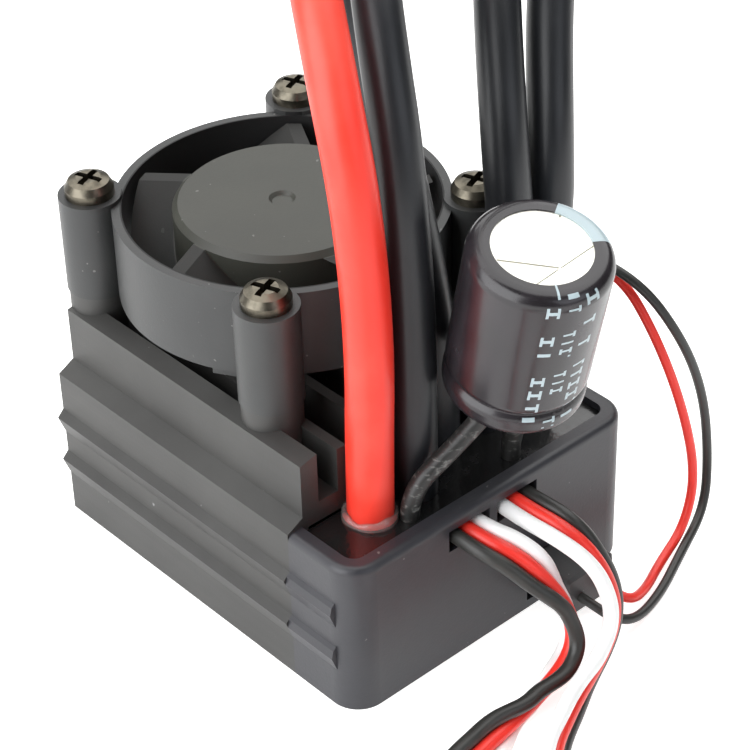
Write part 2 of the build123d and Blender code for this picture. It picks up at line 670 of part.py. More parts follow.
def capacitor_sleeve():
    """Shrink film round the can, folded over both ends."""
    radius = CAN_D / 2 - SLEEVE_T
    skin = can_form(radius, SLEEVE_T) - can_form(radius, 0)
    skin -= rod(BARE_DISC_R, (CAN_L - 1, CAN_L + 2))
    skin -= rod(radius - CAN_FOOT_R, (-2, 1))
    return CAN_FRAME * skin


def capacitor_winding():
    radius = CAN_D / 2 - SLEEVE_T - CAN_WALL - GROOVE_DEPTH
    return CAN_FRAME * rod(radius - 0.1, (BUNG_T + 0.1, CAN_L - 0.5))


def capacitor_bung():
    radius = CAN_D / 2 - SLEEVE_T - CAN_WALL - GROOVE_DEPTH
    bung = rod(radius, (0.1, BUNG_T))
    for side in (-1, 1):
        bung -= rod(CAP_LEAD_D / 2, (-1, BUNG_T + 1), (side * CAP_LEAD_PITCH / 2, 0))
    return CAN_FRAME * bung


def lead_routes():
    """The two leads run from the bung down to the resin, one short and one across."""
    routes = []
    for side, foot, bends in zip((-1, 1), CAP_LEAD_ENDS, CAP_LEAD_BENDS):
        top = CAN_FRAME * Pos(side * CAP_LEAD_PITCH / 2, 0, 0.1)
        below = CAN_FRAME * Pos(side * CAP_LEAD_PITCH / 2, 0, -1.9)
        points = [tuple(top.position), tuple(below.position)]
        points += [*bends, (*foot, RESIN_Z + 1.4), (*foot, CAP_LEAD_END_Z)]
        routes.append(points)
    return routes


def lead_solids(diameter, hollow=0.0):
    solids = []
    for points in lead_routes():
        path = FilletPolyline(*points, radius=corner_radii(points))
        along = Vector(*points[1]) - Vector(*points[0])
        ring = Circle(diameter / 2)
        if hollow:
            ring = ring - Circle(hollow / 2)
        solids.append(sweep(Plane(origin=points[0], z_dir=along) * ring, path=path.wire()))
    return solids


def capacitor_leads():
    return lead_solids(CAP_LEAD_D)


def capacitor_lead_sleeves():
    return lead_solids(CAP_TUBE_D, CAP_LEAD_D)


# ---- end fittings ----

def battery_plug():
    """Two-way plug: a grooved body, open where the contacts slide in."""
    place = battery_frame()
    body = box((0, PLUG_D), (-PLUG_W / 2, PLUG_W / 2), (-PLUG_H / 2, PLUG_H / 2))
    body = fillet(body.edges().filter_by(Axis.X), 1.0)
    for index in range(4):
        x = 2.2 + index * 1.6
        for side in (-1, 1):
            body -= box((x, x + 0.8), (-PLUG_W, PLUG_W), sorted((side * PLUG_H, side * (PLUG_H / 2 - 0.4))))
    for side in (-1, 1):
        slot = box((-1, PLUG_D + 1), (-2.3, 2.3), (-2.3, 2.3))
        body -= Pos(0, side * CONTACT_PITCH / 2, 0) * slot
    return place * body


def battery_frame():
    """Frame at the battery plug's back, midway between the two wire ends."""
    positive, negative = (end_frame(f"battery_wire_{sign}") for sign in ("positive", "negative"))
    middle = (positive.origin + negative.origin) * 0.5
    return Plane(origin=middle, x_dir=positive.x_dir, z_dir=positive.z_dir).location


def battery_contacts():
    """Cup for the wire at the back, spring tube at the front."""
    place = battery_frame()
    contacts = []
    for side in (-1, 1):
        shape = Pos(PLUG_D / 2, 0, 0) * Rot(0, 90, 0) * Cylinder(2.25, PLUG_D)
        shape -= Pos(PLUG_D - 3.5, 0, 0) * Rot(0, 90, 0) * Cylinder(1.6, 7.1)
        contacts.append(place * Pos(0, side * CONTACT_PITCH / 2, 0) * shape)
    return contacts


def bullet(name):
    """Gold-plated male bullet: a solder cup behind a bulged pin."""
    r = BULLET_D / 2
    cup = BULLET_SLEEVE_D / 2 - 0.3
    neck = BULLET_NECK_L
    outline = [(0, 0), (cup, 0), (cup, neck), (r + 0.15, neck), (r + 0.15, neck + 1.0),
               (r - 0.25, neck + 1.3), (r - 0.25, neck + 1.8), (r, neck + 2.4),
               (r, neck + BULLET_L - 2.0), (r - 0.6, neck + BULLET_L - 0.6), (0, neck + BULLET_L)]
    return end_frame(name).location * Rot(0, 90, 0) * revolved(outline)


def bullet_sleeve(name):
    """Heat-shrink over the joint, from the wire on to the solder cup."""
    cup = BULLET_SLEEVE_D / 2 - 0.3
    sleeve = revolved([(cup, 0), (BULLET_SLEEVE_D / 2, 0), (BULLET_SLEEVE_D / 2, BULLET_NECK_L - 0.4),
                       (cup, BULLET_NECK_L - 0.4)])
    back = revolved([(WIRE_D / 2 + 0.02, -6), (WIRE_D / 2 + 0.25, -6), (BULLET_SLEEVE_D / 2, -0.6),
                     (BULLET_SLEEVE_D / 2, 0), (cup, 0), (WIRE_D / 2 + 0.02, 0)])
    return end_frame(name).location * Rot(0, 90, 0) * (sleeve + back)


def receiver_plug():
    """Three-way servo plug with its keying rib."""
    width, length, height = SERVO
    body = box((0, length), (-width / 2, width / 2), (-height / 2, height / 2))
    body = fillet(body.edges().filter_by(Axis.X), 0.3)
    body += box((1, length - 1), (width / 2 - 1.4, width / 2 - 0.6), (height / 2 - 0.1, height / 2 + 0.35))
    for index in (-1, 0, 1):
        body -= box((3, length + 1), (index * SERVO_PITCH - 0.75, index * SERVO_PITCH + 0.75),
                    (-0.75, 0.75))
    return servo_location() * body


def servo_location():
    frame = end_frame("receiver_lead")
    return Location(frame.location) * Pos(0, 0, SERVO[2] / 2 - ROUTES["receiver_lead"][-1][2] + 0.02)


def receiver_contacts():
    """Three crimped sockets inside the plug."""
    contacts = []
    for index in (-1, 0, 1):
        shape = box((3.0, SERVO[1] - 0.6), (-0.7, 0.7), (-0.7, 0.7))
        shape -= box((5.0, SERVO[1]), (-0.4, 0.4), (-0.4, 0.4))
        contacts.append(servo_location() * Pos(0, index * SERVO_PITCH, 0) * shape)
    return contacts


# ---- switch box, drawn with X along the box and its base at Z 0 ----

def switch_place():
    last = ROUTES["switch_lead"][-1]
    frame = end_frame("switch_lead")
    return Location(frame.location) * Pos(BOX[0] / 2, 0, -last[2] + 0.02)


KNOB_X = -4.6
BUTTON_X = 5.6
BOX_TOP_IN = BOX[2] - BOX_WALL


def switch_shell():
    """Moulded box, open below, with a slot for the knob and a hole for the button."""
    block = box((-BOX[0] / 2, BOX[0] / 2), (-BOX[1] / 2, BOX[1] / 2), (0, BOX[2]))
    block = fillet(block.edges().filter_by(Axis.Z), 1.6)
    block = fillet(block.faces().sort_by(Axis.Z)[-1].edges(), 0.7)
    block -= box((-BOX[0] / 2 + BOX_WALL, BOX[0] / 2 - BOX_WALL),
                 (-BOX[1] / 2 + BOX_WALL, BOX[1] / 2 - BOX_WALL), (-1, BOX_TOP_IN))
    slot_x = KNOB[0] + KNOB_TRAVEL + 2 * KNOB_GAP
    slot_y = KNOB[1] + 2 * KNOB_GAP
    block -= Pos(KNOB_X, 0, BOX[2]) * Box(slot_x, slot_y, 4)
    block -= Pos(BUTTON_X, 0, BOX[2]) * Cylinder(BUTTON_D / 2 + 0.2, 4)
    return switch_place() * block


def switch_base():
    """Snap-in floor of the switch box."""
    gap = BOX_WALL + SEAT_GAP
    plate = box((-BOX[0] / 2 + gap, BOX[0] / 2 - gap), (-BOX[1] / 2 + gap, BOX[1] / 2 - gap), (0, 1.0))
    return switch_place() * plate


def switch_board():
    gap = BOX_WALL + 0.4
    plate = box((-BOX[0] / 2 + gap, BOX[0] / 2 - gap), (-BOX[1] / 2 + gap, BOX[1] / 2 - gap), (2.7, 3.6))
    for side in (-1, 1):
        plate += box((side * 6.5 - 0.8, side * 6.5 + 0.8), (2.6, 4.2), (1.0, 2.8))
    return switch_place() * plate


def slide_switch():
    """Metal-cased slide switch under the knob."""
    return switch_place() * box((KNOB_X - 4.4, KNOB_X + 4.4), (-2.0, 2.0), (3.6, 5.9))


def switch_knob():
    """Knob in its off position, with a wider foot under the slot."""
    x = KNOB_X - KNOB_TRAVEL / 2
    foot = box((x - 2.5, x + 2.5), (-1.8, 1.8), (6.0, BOX_TOP_IN - 0.1))
    grip = box((x - KNOB[0] / 2, x + KNOB[0] / 2), (-KNOB[1] / 2, KNOB[1] / 2), (6.1, BOX[2] + 1.6))
    for index in (-1, 0, 1):
        grip -= box((x + index - 0.2, x + index + 0.2), (-4, 4), (BOX[2] + 1.25, BOX[2] + 3))
    return switch_place() * (foot + grip)


def push_switch():
    """Small square push switch under the set button."""
    body = box((BUTTON_X - 2.6, BUTTON_X + 2.6), (-2.6, 2.6), (3.6, 5.2))
    return switch_place() * (body + rod(1.2, (5.1, 5.5), (BUTTON_X, 0)))


def set_button():
    """Round cap with a flange that stops it under the box top."""
    z = BOX_TOP_IN - 0.05
    cap = revolved([(0, 5.95), (2.5, 5.95), (2.5, z), (BUTTON_D / 2, z),
                    (BUTTON_D / 2, BOX[2] + 0.7), (BUTTON_D / 2 - 0.3, BOX[2] + 1.0), (0, BOX[2] + 1.0)])
    return switch_place() * Pos(BUTTON_X, 0, 0) * cap


# ---- write every node ----

MAKERS = [front_housing, heatsink_case, rear_cover, potting, wire_cores, power_board, mosfets,
          thermal_pad, control_board, board_spacers, microcontroller, link_pins, voltage_coil,
          fan_frame, fan_rotor, rotor_magnet, fan_shaft, fan_bearing, fan_stator, fan_coils,
          fan_board, fan_screws, fan_header, fan_header_pins, fan_plug, capacitor_can, capacitor_sleeve,
          capacitor_winding, capacitor_bung, capacitor_leads, capacitor_lead_sleeves,
          battery_plug, battery_contacts, receiver_plug, receiver_contacts, switch_shell,
          switch_base, switch_board, slide_switch, switch_knob, push_switch, set_button]

for maker in MAKERS:
    write(maker.__name__, maker())
for wire_name in ("motor_wire_a", "motor_wire_b", "motor_wire_c"):
    write(wire_name.replace("wire", "bullet"), bullet(wire_name))
    write(wire_name.replace("wire", "bullet_sleeve"), bullet_sleeve(wire_name))
for cord_name in ROUTES:
    write(cord_name, cord(cord_name, DIAMETERS.get(cord_name, WIRE_D)))
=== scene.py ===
import math

import bmesh
import bpy
from mathutils import Matrix, Vector


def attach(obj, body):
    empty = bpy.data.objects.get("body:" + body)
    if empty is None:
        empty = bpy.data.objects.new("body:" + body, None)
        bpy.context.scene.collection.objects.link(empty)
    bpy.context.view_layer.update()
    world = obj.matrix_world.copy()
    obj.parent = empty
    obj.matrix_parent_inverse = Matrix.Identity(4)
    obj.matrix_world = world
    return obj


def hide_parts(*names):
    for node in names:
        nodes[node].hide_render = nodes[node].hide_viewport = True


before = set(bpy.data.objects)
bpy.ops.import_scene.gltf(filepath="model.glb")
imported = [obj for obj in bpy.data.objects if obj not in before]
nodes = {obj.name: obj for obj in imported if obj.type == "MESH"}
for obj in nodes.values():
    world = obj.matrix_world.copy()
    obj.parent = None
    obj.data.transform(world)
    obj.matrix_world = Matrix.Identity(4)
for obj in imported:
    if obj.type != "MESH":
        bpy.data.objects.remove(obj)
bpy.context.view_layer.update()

# ---- Camera, floor and light ----
# The controller stands on a white bench and is seen from above its nose, a little to the left.
# The bench is bright, a large soft box hangs over it, one stands to the left and a weak one in front.

MM = 0.001


def at(point):
    """A place given in millimetres."""
    return Vector(point) * MM


view_right = Vector((0.7387, -0.6736, -0.0230))
view_up = Vector((0.4118, 0.4240, 0.8066))
view_back = Vector((-0.5336, -0.6053, 0.5906))
camera_data = bpy.data.cameras.new("camera")
camera_data.lens = 120.854
camera_data.sensor_width = 36.0
camera_data.clip_start = 0.01
camera = bpy.data.objects.new("camera", camera_data)
axes = Matrix((view_right, view_up, view_back)).transposed()
camera.matrix_world = Matrix.Translation(at((-118.28, -138.82, 150.75))) @ axes.to_4x4()
bpy.context.scene.collection.objects.link(camera)
bpy.context.scene.camera = camera
bpy.context.scene.view_settings.view_transform = "Standard"


class Value:
    """A socket in a material that takes part in arithmetic."""

    def __init__(self, finish, socket):
        self.finish = finish
        self.socket = socket

    def maths(self, operation, first, second=None):
        values = {0: first} if second is None else {0: first, 1: second}
        return self.finish.node("ShaderNodeMath", {"operation": operation}, values)

    def __add__(self, other):
        return self.maths("ADD", self, other)

    def __radd__(self, other):
        return self.maths("ADD", other, self)

    def __sub__(self, other):
        return self.maths("SUBTRACT", self, other)

    def __rsub__(self, other):
        return self.maths("SUBTRACT", other, self)

    def __mul__(self, other):
        return self.maths("MULTIPLY", self, other)

    def __rmul__(self, other):
        return self.maths("MULTIPLY", other, self)

    def __truediv__(self, other):
        return self.maths("DIVIDE", self, other)

    def __gt__(self, other):
        return self.maths("GREATER_THAN", self, other)

    def __lt__(self, other):
        return self.maths("LESS_THAN", self, other)

    def __abs__(self):
        return self.maths("ABSOLUTE", self)


class Finish:
    """A material on the principled shader, with short ways to add nodes."""

    def __init__(self, name, **fixed):
        self.material = bpy.data.materials.new(name)
        self.material.use_nodes = True
        self.tree = self.material.node_tree
        self.shader = self.tree.nodes["Principled BSDF"]
        self.wear(**fixed)

    def feed(self, socket, value):
        """Link a value into a socket, or set a plain number or colour on it."""
        if isinstance(value, Value):
            self.tree.links.new(value.socket, socket)
        elif socket.type == "RGBA" and len(value) == 3:
            socket.default_value = (*value, 1.0)
        else:
            socket.default_value = value

    def node(self, kind, settings=None, values=None, out=0):
        """One node with its settings, then its inputs by identifier, name or number."""
        made = self.tree.nodes.new(kind)
        for key, value in (settings or {}).items():
            setattr(made, key, value)
        for key, value in (values or {}).items():
            by_name = {s.identifier: s for s in made.inputs}
            self.feed(by_name[key] if key in by_name else made.inputs[key], value)
        return Value(self, made.outputs[out])

    def place(self):
        return self.node("ShaderNodeTexCoord", out="Object")

    def stretched(self, scale, turn=(0, 0, 0)):
        """The place scaled along its axes, for a pattern that runs one way."""
        values = {"Vector": self.place(), "Scale": scale, "Rotation": turn}
        return self.node("ShaderNodeMapping", {}, values)

    def noise(self, scale, detail=3.0, vector=None):
        values = {"Vector": vector or self.place(), "Scale": scale, "Detail": detail,
                  "Roughness": 0.55}
        return self.node("ShaderNodeTexNoise", {}, values)

    def step(self, factor, low, high):
        """0 below low, 1 above high, smooth between."""
        values = {"Value": factor, "From Min": low, "From Max": high}
        return self.node("ShaderNodeMapRange", {"interpolation_type": "SMOOTHSTEP"}, values)

    def mix(self, factor, first, second):
        values = {"Factor_Float": factor, "A_Color": first, "B_Color": second}
        return self.node("ShaderNodeMix", {"data_type": "RGBA"}, values, out=2)

    def bump(self, height, depth, strength=1.0):
        values = {"Height": height, "Distance": depth, "Strength": strength}
        return self.node("ShaderNodeBump", {}, values)

    def wear(self, **inputs):
        """Put values on the shader's inputs, named with _ for a space."""
        for key, value in inputs.items():
            self.feed(self.shader.inputs[key.replace("_", " ")], value)


def sheet_of(name, size, height):
    """A flat square sheet, centred, at a height."""
    made = bpy.data.meshes.new(name)
    half = size / 2
    around = ((-half, -half), (half, -half), (half, half), (-half, half))
    corners = [(x, y, height) for x, y in around]
    made.from_pydata(corners, [], [(0, 1, 2, 3)])
    piece = bpy.data.objects.new(name, made)
    bpy.context.scene.collection.objects.link(piece)
    return piece


# the bench lights the object a little less than it shows itself to the camera
BENCH_SIZE = 3.0
BENCH_GAP = 0.05
bench = sheet_of("bench", BENCH_SIZE, -BENCH_GAP * MM)
bench_finish = Finish("bench_paint", Base_Color=(0.80, 0.80, 0.79), Roughness=0.6,
                      Emission_Strength=1.0)
seen = bench_finish.node("ShaderNodeLightPath", out="Is Camera Ray")
bench_finish.wear(Emission_Color=bench_finish.mix(seen, (0.62, 0.62, 0.62), (0.75, 0.75, 0.74)))
bench.data.materials.append(bench_finish.material)


def soft_box(name, place, aim, size, power, colour=(1.0, 1.0, 1.0)):
    """An area light of a given size that points at a place."""
    lamp = bpy.data.lights.new(name, "AREA")
    lamp.shape = "RECTANGLE"
    lamp.size, lamp.size_y = size
    lamp.energy = power
    lamp.color = colour
    made = bpy.data.objects.new(name, lamp)
    made.location = place
    made.rotation_euler = (Vector(aim) - Vector(place)).to_track_quat("-Z", "Y").to_euler()
    bpy.context.scene.collection.objects.link(made)


OBJECT_MIDDLE = (0, 0, 0.02)
soft_box("box_over", (0.22, 0.20, 0.62), OBJECT_MIDDLE, (1.25, 1.05), 10.5)
soft_box("box_left", (-0.62, 0.05, 0.34), OBJECT_MIDDLE, (0.8, 0.8), 8.5, (0.97, 0.98, 1.0))
soft_box("box_front", (0.10, -0.66, 0.34), OBJECT_MIDDLE, (0.5, 0.4), 1.0, (0.88, 0.92, 1.0))
room = bpy.data.worlds.new("room")
bpy.context.scene.world = room
room.use_nodes = True
walls = room.node_tree.nodes["Background"]
walls.inputs["Color"].default_value = (0.86, 0.87, 0.80, 1.0)
walls.inputs["Strength"].default_value = 0.05


# ---- Power wires ----
# Five silicone-insulated wires of fine copper strands leave the resin upright and lean back over the
# fan: one red and one black to the battery plug, and three black ones with bullets for the motor.

WIRE_D = 4.1


def curve_of(name, points, width=0.0):
    """One smooth open spline through a route in millimetres; width is a tube's diameter."""
    data = bpy.data.curves.new(name, "CURVE")
    data.dimensions = "3D"
    data.resolution_u = 14
    data.bevel_depth = width / 2 * MM
    data.bevel_resolution = 7
    data.use_fill_caps = True
    spline = data.splines.new("NURBS")
    spline.points.add(len(points) - 1)
    for spot, point in zip(spline.points, points):
        spot.co = (*at(point), 1.0)
    spline.order_u = 3
    spline.use_endpoint_u = True
    piece = bpy.data.objects.new(name, data)
    bpy.context.scene.collection.objects.link(piece)
    return piece


def line_of(name, points):
    """The places along a route's spline, in order."""
    guide = curve_of(name, points)
    bpy.context.view_layer.update()
    ready = guide.evaluated_get(bpy.context.evaluated_depsgraph_get())
    mesh = bpy.data.meshes.new_from_object(ready)
    places = [v.co.copy() for v in mesh.vertices]
    bpy.data.meshes.remove(mesh)
    bpy.data.objects.remove(guide)
    return places


def silicone(name, colour, pale, shine):
    """Extruded silicone rubber: satin, with faint lengthwise wipe marks, dust and a soft bloom."""
    finish = Finish(name, Roughness=shine, Specular_IOR_Level=0.45)
    cloud = finish.noise(90.0, 4.0)
    grain = finish.noise(5200.0, 2.0)
    tone = finish.mix(finish.step(cloud, 0.35, 0.75), colour, pale)
    rough = shine - 0.05 + 0.14 * cloud + 0.05 * grain
    finish.wear(Base_Color=tone, Roughness=rough,
                Normal=finish.bump(grain + 2.0 * cloud, 0.012 * MM, 0.5))
    return finish.material


red_silicone = silicone("red_silicone", (0.92, 0.040, 0.022), (0.96, 0.085, 0.055), 0.36)
black_silicone = silicone("black_silicone", (0.010, 0.011, 0.013), (0.018, 0.019, 0.022), 0.34)

ROOT_Z = 13.3
WIRE_ROUTES = {
    "battery_wire_positive": [
        (-9.3, -14.15, ROOT_Z), (-9.3, -14.15, 20.5), (-8.7, -14.0, 32), (-9.0, -13.3, 45),
        (-7.8, -9.2, 55.5), (-3.4, -1.8, 61.8), (1.2, 5.0, 69.5), (4.7, 10.3, 78.5),
        (6.6, 14.0, 88), (7.6, 16.0, 97.5)],
    "battery_wire_negative": [
        (-4.2, -14.15, ROOT_Z), (-4.2, -14.15, 20.5), (-4.1, -14.0, 33), (-3.8, -12.8, 46),
        (-1.1, -7.6, 56), (3.5, -1.3, 61.2), (8.2, 2.9, 69.4), (11.6, 7.1, 78.5),
        (13.397, 10.601, 88), (14.397, 12.601, 97.5)],
    "motor_wire_a": [
        (1.4, -11.1, ROOT_Z), (1.4, -11.1, 22), (0.4, -10.9, 32.5), (-1.2, -9.8, 43.5),
        (0.7, -4.2, 53.5), (5.3, 2.0, 57.3), (10.2, 8.2, 63.0), (13.6, 13.4, 71.0),
        (15.6, 16.8, 80.5), (16.8, 18.6, 90)],
    "motor_wire_b": [
        (6.6, -11.1, ROOT_Z), (6.6, -11.1, 22), (10.5, -11.0, 32.0), (10.7, -9.8, 41.5),
        (14.9, -4.6, 50), (19.6, 0.4, 54.7), (22.8, 4.4, 62), (24.4, 7.6, 71.2),
        (25.0, 9.8, 80.7), (25.2, 11.0, 90.2)],
    "motor_wire_c": [
        (11.6, -11.1, ROOT_Z), (11.6, -11.1, 22), (15.1, -11.2, 31.5), (15.8, -10.2, 40.5),
        (20.7, -5.0, 49.5), (25.6, -1.4, 54.5), (29.0, 1.2, 62), (30.6, 3.4, 71.2),
        (31.2, 4.8, 80.7), (31.4, 5.8, 90.2)],
}


for wire_name, route in WIRE_ROUTES.items():
    wire = curve_of(wire_name + "_insulation", route, WIRE_D)
    positive = wire_name.endswith("positive")
    wire.data.materials.append(red_silicone if positive else black_silicone)
    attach(wire, "controller")
    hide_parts(wire_name)


# ---- Receiver lead and switch lead ----
# Each is a flat ribbon of three thin vinyl wires, black, red and white, bonded edge to edge. It
# leaves a slot in the nose, folds down to the bench on its edge, and twists flat as it lies down.

RIBBON_WIRE_D = 1.4
RIBBON_PITCH = 1.36


def vinyl(name, colour, dark, shine=0.30):
    """Thin soft vinyl: fairly glossy, a little uneven, slightly soiled."""
    finish = Finish(name, Specular_IOR_Level=0.5)
    cloud = finish.noise(260.0, 4.0)
    fine = finish.noise(4000.0, 2.0)
    tone = finish.mix(finish.step(cloud, 0.45, 0.8), colour, dark)
    finish.wear(Base_Color=tone, Roughness=shine + 0.12 * cloud,
                Normal=finish.bump(fine + cloud, 0.008 * MM, 0.5))
    return finish.material


black_vinyl = vinyl("black_vinyl", (0.022, 0.022, 0.020), (0.034, 0.034, 0.030), 0.34)
red_vinyl = vinyl("red_vinyl", (0.85, 0.035, 0.022), (0.74, 0.03, 0.02))
white_vinyl = vinyl("white_vinyl", (0.92, 0.92, 0.91), (0.84, 0.84, 0.83))


def across(places, distance, keys):
    """The direction from the ribbon's first wire to its last at a distance along it."""
    for (start, first), (end, second) in zip(keys, keys[1:]):
        if distance <= end:
            share = max(0.0, (distance - start) / (end - start))
            share = share * share * (3 - 2 * share)
            return Vector(first).lerp(Vector(second), share)
    return Vector(keys[-1][1])


def ribbon(name, node, route, keys, finishes):
    """Three bonded tubes along one route; keys are (distance in mm, direction across)."""
    places = line_of(name + "_line", route)
    made = bmesh.new()
    sides = 14
    walked = 0.0
    rings = [[], [], []]
    for index, place in enumerate(places):
        before = places[max(index - 1, 0)]
        after = places[min(index + 1, len(places) - 1)]
        along = (after - before).normalized()
        walked += (place - before).length / MM
        wide = across(places, walked, keys)
        wide = (wide - along * wide.dot(along)).normalized()
        thick = along.cross(wide)
        for which in range(3):
            middle = place + wide * (which - 1) * RIBBON_PITCH * MM
            ring = []
            for corner in range(sides):
                turn = 2 * math.pi * corner / sides
                out = wide * math.cos(turn) + thick * math.sin(turn)
                ring.append(made.verts.new(middle + out * RIBBON_WIRE_D / 2 * MM))
            rings[which].append(ring)
    for which, stack in enumerate(rings):
        for low, high in zip(stack, stack[1:]):
            for corner in range(sides):
                beside = (corner + 1) % sides
                face = made.faces.new((low[corner], low[beside], high[beside], high[corner]))
                face.material_index = which
                face.smooth = True
        for ring in (stack[0][::-1], stack[-1]):
            made.faces.new(ring).material_index = which
    bmesh.ops.recalc_face_normals(made, faces=made.faces)
    mesh = bpy.data.meshes.new(name)
    made.to_mesh(mesh)
    made.free()
    piece = bpy.data.objects.new(name, mesh)
    bpy.context.scene.collection.objects.link(piece)
    for finish in finishes:
        mesh.materials.append(finish)
    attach(piece, "controller")
    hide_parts(node)
    return piece, places


SLOT_Z = 13.2
# the spare length winds inwards on the bench from the route's last point
TURN_CENTRE = (-35.5, -61.0)
TURN_R = 21.0
TURN_IN = 6.0
TURN_FROM = 107.0
TURN_STEP = 26.0
RECEIVER_ROUTE = [
    (-3.3, -18.4, SLOT_Z), (-3.3, -21.4, SLOT_Z), (-1.8, -24.2, 12.1), (0.0, -26.3, 9.3),
    (1.3, -27.6, 6.0), (1.2, -28.4, 3.3), (-0.9, -29.0, 1.7), (-6.2, -29.9, 1.0),
    (-14.0, -31.0, 1.0), (-24.0, -33.5, 1.0), (-34.0, -37.2, 1.0)]
for index in range(18):
    swept = index * TURN_STEP
    radius = TURN_R - TURN_IN * (swept / 360) ** 3
    angle = math.radians(TURN_FROM + swept)
    RECEIVER_ROUTE.append((TURN_CENTRE[0] + radius * math.cos(angle),
                           TURN_CENTRE[1] + radius * math.sin(angle), 1.1))
receiver_keys = [(0, (1, 0, 0)), (7, (0.97, 0.15, 0.2)), (13, (0.55, 0.75, -0.2)),
                 (19, (0.35, 0.80, -0.45)), (24, (0.68, 0.35, -0.62)), (30, (0.72, -0.35, -0.50)),
                 (38, (0.35, -0.93, -0.1)), (46, (0.08, -1, 0)), (60, (0.15, -1, 0))]
RECEIVER_KEY_GAP = 13.2
for turn in range(1, 14):
    angle = math.radians(TURN_FROM + (turn - 1) * 36)
    inwards = (-math.cos(angle), -math.sin(angle), 0)
    receiver_keys.append((72 + (turn - 1) * RECEIVER_KEY_GAP, inwards))
receiver_lead, receiver_line = ribbon(
    "receiver_ribbon", "receiver_lead", RECEIVER_ROUTE, receiver_keys,
    (black_vinyl, red_vinyl, white_vinyl))

SWITCH_ROUTE = [
    (2.4, -18.4, SLOT_Z), (2.4, -21.6, SLOT_Z), (3.0, -24.8, 12.8), (4.1, -27.3, 10.9),
    (4.9, -28.9, 7.8), (4.6, -29.9, 4.9), (2.0, -31.0, 3.0), (-4.0, -33.2, 2.4),
    (-10, -36.2, 1.7), (-13.5, -42.5, 1.1), (-12.0, -51, 1.4), (-6, -57.5, 2.2), (0.0, -60.6, 2.2)]
switch_keys = [(0, (1, 0, 0)), (5, (0.95, 0.3, 0.1)), (12, (0.80, 0.55, -0.25)),
               (20, (0.72, 0.45, -0.55)), (27, (0.63, 0.18, -0.75)), (36, (0.45, -0.25, -0.80)),
               (46, (-0.3, -0.9, 0)), (56, (-1, 0, 0)), (66, (-0.6, 0.7, 0))]
switch_lead, switch_line = ribbon(
    "switch_ribbon", "switch_lead", SWITCH_ROUTE, switch_keys,
    (white_vinyl, red_vinyl, black_vinyl))


# ---- Fan lead ----
# A red and a black vinyl wire leave the fan through its side wall, hang beside the case and turn back
# into the small two-way plug in the nose.

FAN_WIRE_D = 0.9
FAN_ROUTES = {
    "fan_lead_red": [
        (7.6, 3.36, 25.6), (14.4, -0.56, 25.6), (19.2, -7.6, 26.3), (21.0, -14.2, 25.3),
        (21.4, -18.4, 20.4), (22.9, -20.7, 13.0), (23.4, -22.3, 6.0), (21.2, -23.2, 1.5),
        (16.2, -24.6, 0.6), (12.6, -26.4, 1.1), (9.5, -27.5, 2.2), (8.4, -26.1, 3.0),
        (8.4, -24.6, 3.0)],
    "fan_lead_black": [
        (6.95, 2.24, 25.6), (14.35, -2.03, 25.6), (18.9, -9.5, 27.1), (21.0, -16.4, 25.7),
        (23.7, -19.6, 19.5), (26.3, -20.2, 12.5), (26.6, -21.0, 5.8), (24.4, -22.8, 1.6),
        (18.6, -25.0, 0.6), (13.6, -27.3, 0.6), (8.8, -28.8, 1.2), (6.3, -28.2, 2.5),
        (5.9, -26.3, 3.0), (5.9, -24.6, 3.0)],
}
for lead_name, route in FAN_ROUTES.items():
    lead = curve_of(lead_name + "_insulation", route, FAN_WIRE_D)
    red = lead_name.endswith("red")
    lead.data.materials.append(red_vinyl if red else black_vinyl)
    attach(lead, "controller")
    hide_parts(lead_name)


# ---- Housing ----
# The nose and floor are one moulding in black glass-filled nylon, the rear cover a flat plate of the
# same. The mould leaves a fine matte spark texture, polished a little on the raised lip.


def dress(finish, *names):
    """Put a finish on nodes."""
    for name in names:
        data = nodes[name].data
        data.materials.clear()
        data.materials.append(finish.material)


def moulded(name, colour, dusty, shine, grain_size=3600.0, depth=0.018):
    """Moulded black plastic with a fine texture, faint flow clouds and a few dust specks."""
    finish = Finish(name, Specular_IOR_Level=0.5)
    cloud = finish.noise(110.0, 5.0)
    grain = finish.noise(grain_size, 2.5)
    pits = finish.noise(grain_size / 3.1, 1.0)
    specks = finish.step(finish.noise(1500.0, 1.0), 0.76, 0.80)
    tone = finish.mix(finish.step(cloud, 0.3, 0.8), colour, dusty)
    tone = finish.mix(specks * 0.35, tone, (0.30, 0.30, 0.28))
    finish.wear(Base_Color=tone, Roughness=shine + 0.16 * cloud - 0.06 * grain,
                Normal=finish.bump(grain + 0.6 * pits, depth * MM, 0.7))
    return finish


housing = moulded("housing_plastic", (0.023, 0.023, 0.028), (0.033, 0.033, 0.038), 0.34)
dress(housing, "front_housing", "rear_cover")


# ---- Resin ----
# Black two-part resin is poured over the wire roots and sets with a glossy, slightly wavy top.

resin = Finish("resin", Specular_IOR_Level=0.55)
ripple = resin.noise(420.0, 3.0)
resin.wear(Base_Color=(0.012, 0.012, 0.012), Roughness=0.16 + 0.25 * resin.step(ripple, 0.45, 0.8),
           Normal=resin.bump(ripple, 0.25 * MM, 0.35))
dress(resin, "potting")

